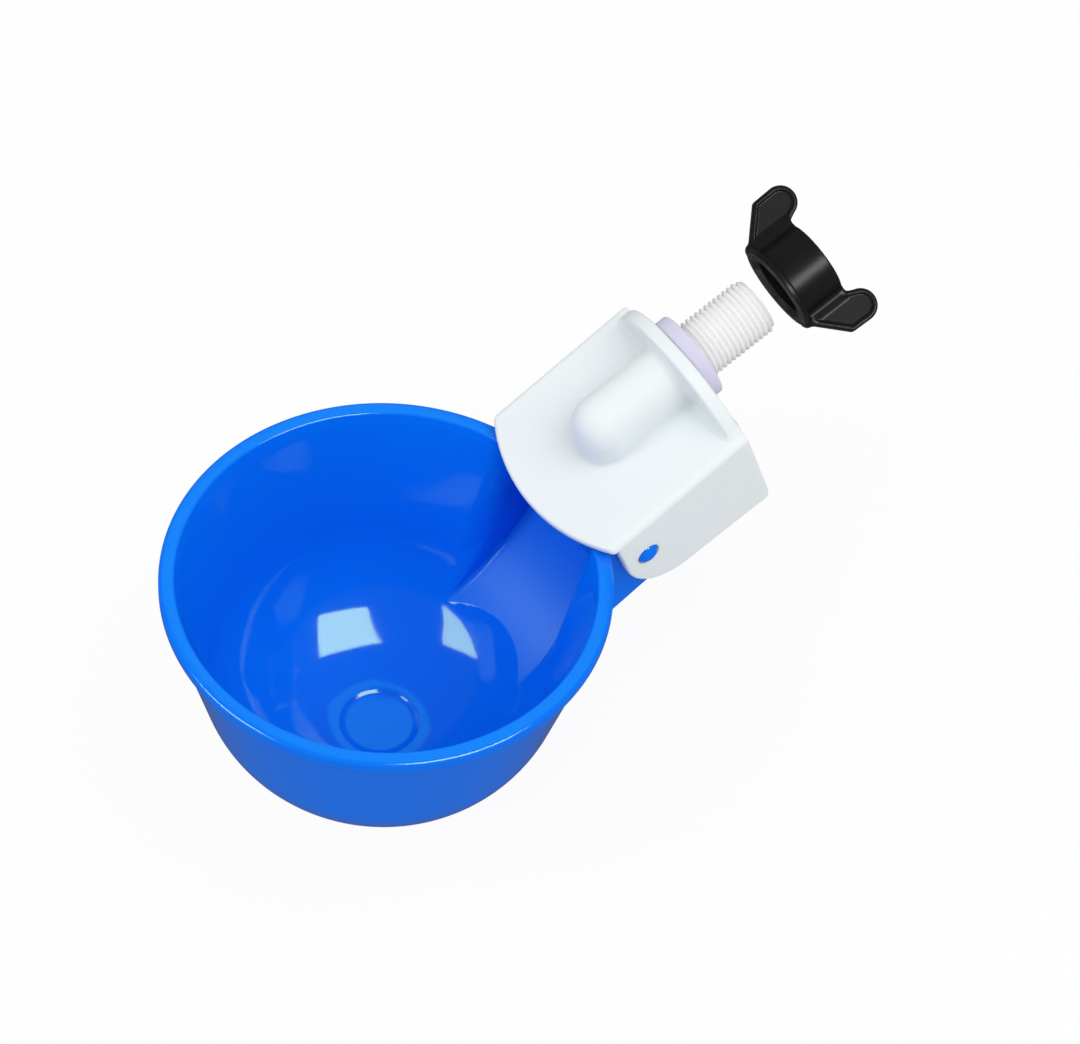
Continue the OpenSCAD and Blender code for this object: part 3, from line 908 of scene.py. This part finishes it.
@dataclass
class Inlet:
    """The threaded inlet: helix outside, passage inside, and the plain spigot in the hood."""

    thread: Thread
    end: float
    back: float
    neck_r: float = 4.55
    spigot_r: float = 3.6
    spigot_len: float = 9.45
    spigot_bevel: float = 0.4
    bore_r: float = 2.2
    mouth_r: float = 0.5
    fine: float = 0.045
    run_out: float = 0.8
    turns: int = 120

    def build(self) -> Piece:
        """Turns the outline about Y, with the helix added to its radius."""
        start, slant, flare = self.back - self.spigot_len, self.spigot_bevel, self.bore_r + self.mouth_r
        fine = np.linspace(0.05, self.end - 0.55, int(self.end / self.fine))
        outline = join(
            [(self.bore_r, start), (self.spigot_r - slant, start), (self.spigot_r, start + slant)],
            [(self.spigot_r, self.back), (self.neck_r, self.back), (self.neck_r, 0.0)],
            np.stack([np.full(len(fine), self.thread.crest), fine], -1),
            [(self.thread.root - 0.05, self.end), (flare, self.end)],
            arc((flare, self.end - self.mouth_r), self.mouth_r, 90, 180, 5),
        )
        angle = np.linspace(0, ROUND, self.turns, endpoint=False)[:, None]
        radius, y = outline[None, :, 0], outline[None, :, 1]
        helix = self.thread.radius(y, angle)
        fade = np.clip((self.end - 0.1 - y) / self.run_out, 0, 1)
        threaded = (radius >= self.thread.crest - 0.001) & (y > 0)
        helix = self.thread.root + (helix - self.thread.root) * fade
        radius = np.where(threaded, helix, radius + 0 * angle)
        points = np.stack([radius * np.cos(angle), y + 0 * angle, radius * np.sin(angle)], -1)
        return smooth(new_object("inlet", points, grid_quads(self.turns, len(outline), True, True)), 50)


@dataclass
class Washer:
    """The sealing washer: a flat ring with soft edges."""

    back: float
    outer: float
    inner: float = 4.945
    edge: float = 0.45

    def build(self) -> Piece:
        """Turns the ring's outline about Y."""
        e = self.edge
        line = join(
            [(self.inner, self.back), (self.inner, 0.0)],
            arc((self.outer - e, -e), e, 90, 0, 8),
            arc((self.outer - e, self.back + e), e, 0, -90, 8),
        )
        return smooth(lathe("washer", line, 128, lambda p: p[..., [0, 2, 1]]), 40)


@dataclass
class WingNut:
    """The black nut: collar, body, two wings with raised borders, and its thread."""

    front: float
    thread: Thread
    length: float = 8.2
    body_r: float = 6.4
    collar_r: float = 7.4
    collar_t: float = 1.0
    turn: float = 29.0
    wing_t: float = 2.3
    panel: float = 0.3
    border: float = 0.8
    tip: Pair = (10.2, 8.9)
    tip_r: float = 2.7
    clearance: float = 0.065
    rib: float = 1.5
    mouth: float = 0.7
    body_edge: float = 0.35
    edge: float = 0.3
    wing_edge: float = 0.45
    panel_edge: float = 0.28
    border_edge: float = 0.2
    rib_edge: float = 0.4
    bore_edge: float = 0.12
    wing_root: float = 0.5
    rib_root: float = 0.6
    step: float = 0.16

    def wing_line(self) -> Array:
        """Outline of a wing in reach and length: front edge, shoulder, round tip, and back to the body."""
        shoulder = (self.tip[0] + self.tip_r - 0.9, self.tip[1] - 3.1)
        return join(
            [(4.0, 0.3), (7.3, 0.2)],
            arc(shoulder, 0.8, -40, 0, 4),
            arc(self.tip, self.tip_r, -5, 165, 20),
            [(7.0, 8.3), (6.0, 8.0), (4.0, 8.0)],
        )

    def distance(self, p: Array) -> Array:
        """Distance to the nut, in its own frame: reach, thickness and length."""
        u, w, v = p[..., 0], p[..., 1], p[..., 2]
        out = np.hypot(u, w)
        ends = np.abs(v - self.length / 2) - self.length / 2
        body = round_and(out - self.body_r, ends, self.body_edge)
        collar = np.abs(v - self.collar_t / 2) - self.collar_t / 2
        collar = round_and(out - self.collar_r, collar, self.edge)
        flat = outline_distance(np.abs(u), v, self.wing_line())
        plate = round_and(flat, np.abs(w) - self.wing_t / 2, self.wing_edge)
        pressed = (self.wing_t / 2 - self.panel) - np.abs(w)
        pressed = round_and(flat + self.border, pressed, self.panel_edge)
        plate = round_and(plate, -pressed, self.border_edge)
        rib = np.hypot(np.abs(u) - self.body_r - 0.1, w) - self.rib
        rib = round_and(rib, ends, self.rib_edge)
        solid = round_or(body, collar, self.edge)
        solid = round_or(round_or(solid, plate, self.wing_root), rib, self.rib_root)
        angle = np.arctan2(w, u)
        bore = out - (self.thread.radius(v, angle) + self.clearance)
        flare = np.clip(self.mouth - v, 0, self.mouth)
        mouth = out - (self.thread.crest + self.clearance + flare)
        return round_and(solid, -np.minimum(bore, mouth), self.bore_edge)

    def place(self, p: Array) -> Array:
        """Carries the part's frame into the nut's own frame."""
        lean = np.radians(self.turn)
        u = p[..., 0] * np.cos(lean) - p[..., 2] * np.sin(lean)
        w = p[..., 0] * np.sin(lean) + p[..., 2] * np.cos(lean)
        return np.stack([u, w, p[..., 1] - self.front], -1)

    def build(self) -> Piece:
        """Meshes the nut."""
        return Skin(lambda p: self.distance(self.place(p)), self.step).over("nut", "wing_nut", 0.8)


@dataclass
class Spring:
    """The coil over the plunger: round wire carried along a helix with closed ends."""

    low: float
    high: float
    y: float
    radius: float
    wire: float = 0.2
    turns: float = 4.0
    closed: float = 0.14

    def build(self) -> Piece:
        """Sweeps a circle along the helix, whose first and last shares are closed turns."""
        share = np.linspace(0, 1, 240)[:, None]
        ease = np.clip((share - self.closed) / 0.72, 0, 1)
        rise = self.low + self.wire + (self.high - self.low - 2 * self.wire) * ease
        begun = np.clip(share / self.closed, 0, 1)
        ended = np.clip((share - 0.86) / self.closed, 0, 1)
        lift = (self.wire * 2 * begun - self.wire * 2 * ended) * (1 - ease)
        around = ROUND * self.turns * share
        ring = np.linspace(0, ROUND, 14, endpoint=False)[None, :]
        out = self.radius + self.wire * np.cos(ring)
        height = rise + lift + self.wire * np.sin(ring)
        points = np.stack([out * np.cos(around), self.y + out * np.sin(around), height], -1)
        return smooth(new_object("spring", points, tube_faces(*points.shape[:2])), 40)


@dataclass(frozen=True)
class Eye:
    """The camera, placed from the photo: heading, height and roll in degrees, place in millimetres."""

    heading: float = 79.11
    height: float = 61.22
    roll: float = 28.52
    offset: Triple = (24.04, -26.41, 553.29)
    focal: float = 3545.0
    width: int = 1080
    film: float = 36.0

    def axes(self) -> Array:
        """The picture's right, down and forward directions as rows."""
        h, e, r = np.radians([self.heading, self.height, self.roll])
        forward = np.array([-np.sin(h) * np.cos(e), np.cos(h) * np.cos(e), -np.sin(e)])
        right = np.array([np.cos(h), np.sin(h), 0.0])
        down = np.cross(forward, right)
        turned = [np.cos(r) * right + np.sin(r) * down, np.cos(r) * down - np.sin(r) * right]
        return np.stack([*turned, forward])

    def build(self) -> None:
        """Makes the scene's camera."""
        data = bpy.data.cameras.new("eye")
        data.lens = self.film * self.focal / self.width
        data.sensor_width = self.film
        data.clip_start = 0.01
        data.clip_end = 50
        camera = add_object("eye", data)
        axes = self.axes()
        aim(camera, [axes[0], -axes[1], -axes[2]], -axes.T @ np.array(self.offset) * MM)
        bpy.context.scene.camera = camera


@dataclass(frozen=True)
class SoftBox:
    """A square lamp: the direction it stands in, seen from the bowl, its size and its brightness."""

    name: str
    towards: Triple
    side: Triple
    width: float
    depth: float
    bright: float
    away: float = 1.2
    tint: Triple = (1.0, 1.0, 1.0)
    glint_on: Piece | None = None

    def build(self, centre: Array) -> None:
        """Makes the lamp and turns it to the bowl; a glint shows only as a reflection in its one piece."""
        towards = np.array(self.towards) / np.linalg.norm(self.towards)
        side = np.array(self.side) - np.dot(self.side, towards) * towards
        side = side / np.linalg.norm(side)
        data = bpy.data.lights.new(self.name, "AREA")
        data.shape = "RECTANGLE"
        data.size, data.size_y = self.width, self.depth
        data.energy = self.bright * np.pi * self.width * self.depth
        data.color = self.tint
        lamp = add_object(self.name, data)
        if self.glint_on:
            lamp.visible_diffuse = False
            receivers = bpy.data.collections.new(self.name)
            receivers.objects.link(self.glint_on)
            lamp.light_linking.receiver_collection = receivers
        else:
            lamp.visible_glossy = False
        aim(lamp, [side, np.cross(towards, side), towards], centre * MM + towards * self.away)


@dataclass
class Studio:
    """Floor, world and lamps."""

    floor_z: float
    boxes: list[SoftBox]
    floor_half: float = 3000.0
    floor_glow: float = 0.92
    sky: float = 0.65
    mirrored: float = 0.1

    def floor(self) -> None:
        """A pale floor that shows white to the camera, keeps a faint shadow and isn't seen from below."""
        size, dim = self.floor_half, self.mirrored
        corners = np.array([[-size, -size], [size, -size], [size, size], [-size, size]])
        points = np.column_stack([corners, np.full(4, self.floor_z)])
        obj = new_object("floor", points, [[0, 1, 2, 3]])
        material = bpy.data.materials.new("floor_paper")
        material.use_nodes = True
        tree = Tree(material.node_tree)
        paper = tree.data.nodes["Principled BSDF"]
        tree.fill(paper, {"Base Color": (0.86, 0.86, 0.86, 1), "Roughness": 0.9, "Specular IOR Level": 0.1})
        path = tree.add("LightPath", {}).outputs
        either = {0: path["Is Camera Ray"], 1: path["Is Transmission Ray"]}
        seen = tree.add("Math", either, operation="MAXIMUM").outputs[0]
        share = tree.add("Math", {0: seen, 1: self.floor_glow}, operation="MULTIPLY").outputs[0]
        white = tree.add("Emission", {"Color": (1, 1, 1, 1)}).outputs[0]
        shown = tree.mix(share, paper.outputs[0], white)
        grey = tree.add("Emission", {"Color": (dim, dim, dim, 1)}).outputs[0]
        shown = tree.mix(path["Is Glossy Ray"], shown, grey)
        below = tree.add("NewGeometry", {}).outputs["Backfacing"]
        shown = tree.mix(below, shown, tree.add("BsdfTransparent", {}).outputs[0])
        tree.fill(tree.data.nodes["Material Output"], {"Surface": shown})
        dress(obj, material)

    def world(self) -> None:
        """An even pale world, dimmer in reflections."""
        world = bpy.data.worlds.new("pale")
        bpy.context.scene.world = world
        world.use_nodes = True
        tree = Tree(world.node_tree)
        glossy = tree.add("LightPath", {}).outputs["Is Glossy Ray"]
        back = {"Color": (1, 1, 1, 1), "Strength": tree.between(self.sky, self.mirrored, glossy)}
        tree.fill(tree.data.nodes["Background"], back)

    def build(self, centre: Array) -> None:
        """Makes all of it."""
        self.floor()
        self.world()
        for box in self.boxes:
            box.build(centre)


def finishes() -> dict[str, bpy.types.Material]:
    """Every finish of the object, by the record's slot."""
    steel = (0.62, 0.62, 0.63)
    made = (
        Finish("bowl_blue", (0.0015, 0.175, 0.9), (0.001, 0.165, 0.87), 0.08, specular=0.4, dull=0.3),
        Finish("hood_white", (0.82, 0.87, 0.88), (0.8, 0.85, 0.86), 0.4, glow=0.2),
        Finish("inlet_white", (0.9, 0.905, 0.9), (0.88, 0.885, 0.88), 0.25, glow=0.4),
        Finish("washer_silicone", (0.68, 0.65, 0.82), (0.64, 0.62, 0.78), 0.4, glow=0.4),
        Finish("nut_black", (0.009, 0.009, 0.009), (0.007, 0.007, 0.007), 0.3),
        Finish("seal_rubber", (0.02, 0.02, 0.02), (0.03, 0.03, 0.03), 0.6),
        Finish("spring_wire", steel, steel, 0.28, grain=2500.0, metal=1.0),
    )
    return {finish.name: finish.make() for finish in made}


def main() -> None:
    """Builds the waterer, the studio and the camera."""
    logging.basicConfig(level=logging.INFO, format="%(message)s")
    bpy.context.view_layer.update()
    bpy.context.scene.view_settings.view_transform = "Standard"
    finish = finishes()
    hinge, thread = find_hinge(), Thread()
    ring_low, ring_high = box_mm("sealing_washer")
    low, high = box_mm("housing")
    coil_low, coil_high = box_mm("plunger_spring")

    bowl = Bowl(hinge, rim_r=box_mm("cup")[1][0])
    hood = Hood(hinge, half=high[0], back=high[1], skirt_z=low[2], arch_z=high[2], nose=low[1])
    inlet = Inlet(thread, end=box_mm("inlet_stub")[1][1], back=ring_low[1])
    washer = Washer(back=ring_low[1], outer=ring_high[0])
    nut = WingNut(front=box_mm("wing_nut")[0][1], thread=thread)
    coil = Spring(coil_low[2], coil_high[2], y=hood.valve_y, radius=coil_high[0] - Spring.wire)
    made = {}
    for maker, body, node, slot in (
        (bowl, Body.BOWL, "cup", "bowl_blue"),
        (hood, Body.HOOD, "housing", "hood_white"),
        (inlet, Body.HOOD, "inlet_stub", "inlet_white"),
        (washer, Body.HOOD, "sealing_washer", "washer_silicone"),
        (nut, Body.NUT, "wing_nut", "nut_black"),
        (coil, Body.HOOD, "plunger_spring", "spring_wire"),
    ):
        made[node] = maker.build()
        dress(made[node], finish[slot])
        install(made[node], body, (node,), slot)
    coil = made["plunger_spring"]
    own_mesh(coil)
    dress(frame["nodes"]["plunger"], finish["hood_white"])
    dress(frame["nodes"]["plunger_guide"], finish["hood_white"])
    dress(frame["nodes"]["plunger_seal"], finish["seal_rubber"])

    Eye().build()
    cup, nut = made["cup"], made["wing_nut"]
    key, key_side = (0.468, 0.407, 0.784), (-0.126, -0.499, 0.326)
    fill, fill_side = (-0.188, -0.538, 0.822), (0.5, 0.35, 0.13)
    low_side, nut_side = (-0.459, 0.613, 0.643), (0.75, 0.25, 0.61)
    cool, green = (0.65, 1.0, 0.25), (0.1, 1.0, 0.4)
    along_x, along_y = (1.0, 0.0, 0.0), (0.0, 1.0, 0.0)
    below_level_bowl = 0.5
    Studio(
        floor_z=hinge.z + bowl.rise - bowl.height - below_level_bowl,
        boxes=[
            SoftBox("key", key, key_side, 0.95, 0.95, 2.2),
            SoftBox("fill", fill, fill_side, 0.6, 0.6, 3.0),
            SoftBox("key_glint", key, key_side, 0.62, 0.68, 17.0, away=1.1, tint=cool, glint_on=cup),
            SoftBox("fill_glint", fill, fill_side, 0.55, 0.65, 14.0, away=1.1, tint=cool, glint_on=cup),
            SoftBox("floor_glint", low_side, along_x, 0.3, 0.2, 1.5, tint=green, glint_on=cup),
            SoftBox("nut_glint", nut_side, along_y, 0.9, 0.4, 4.5, glint_on=nut),
        ],
    ).build(np.array([0.0, -55.0, -10.0]))


if __name__ == "__main__":
    main()
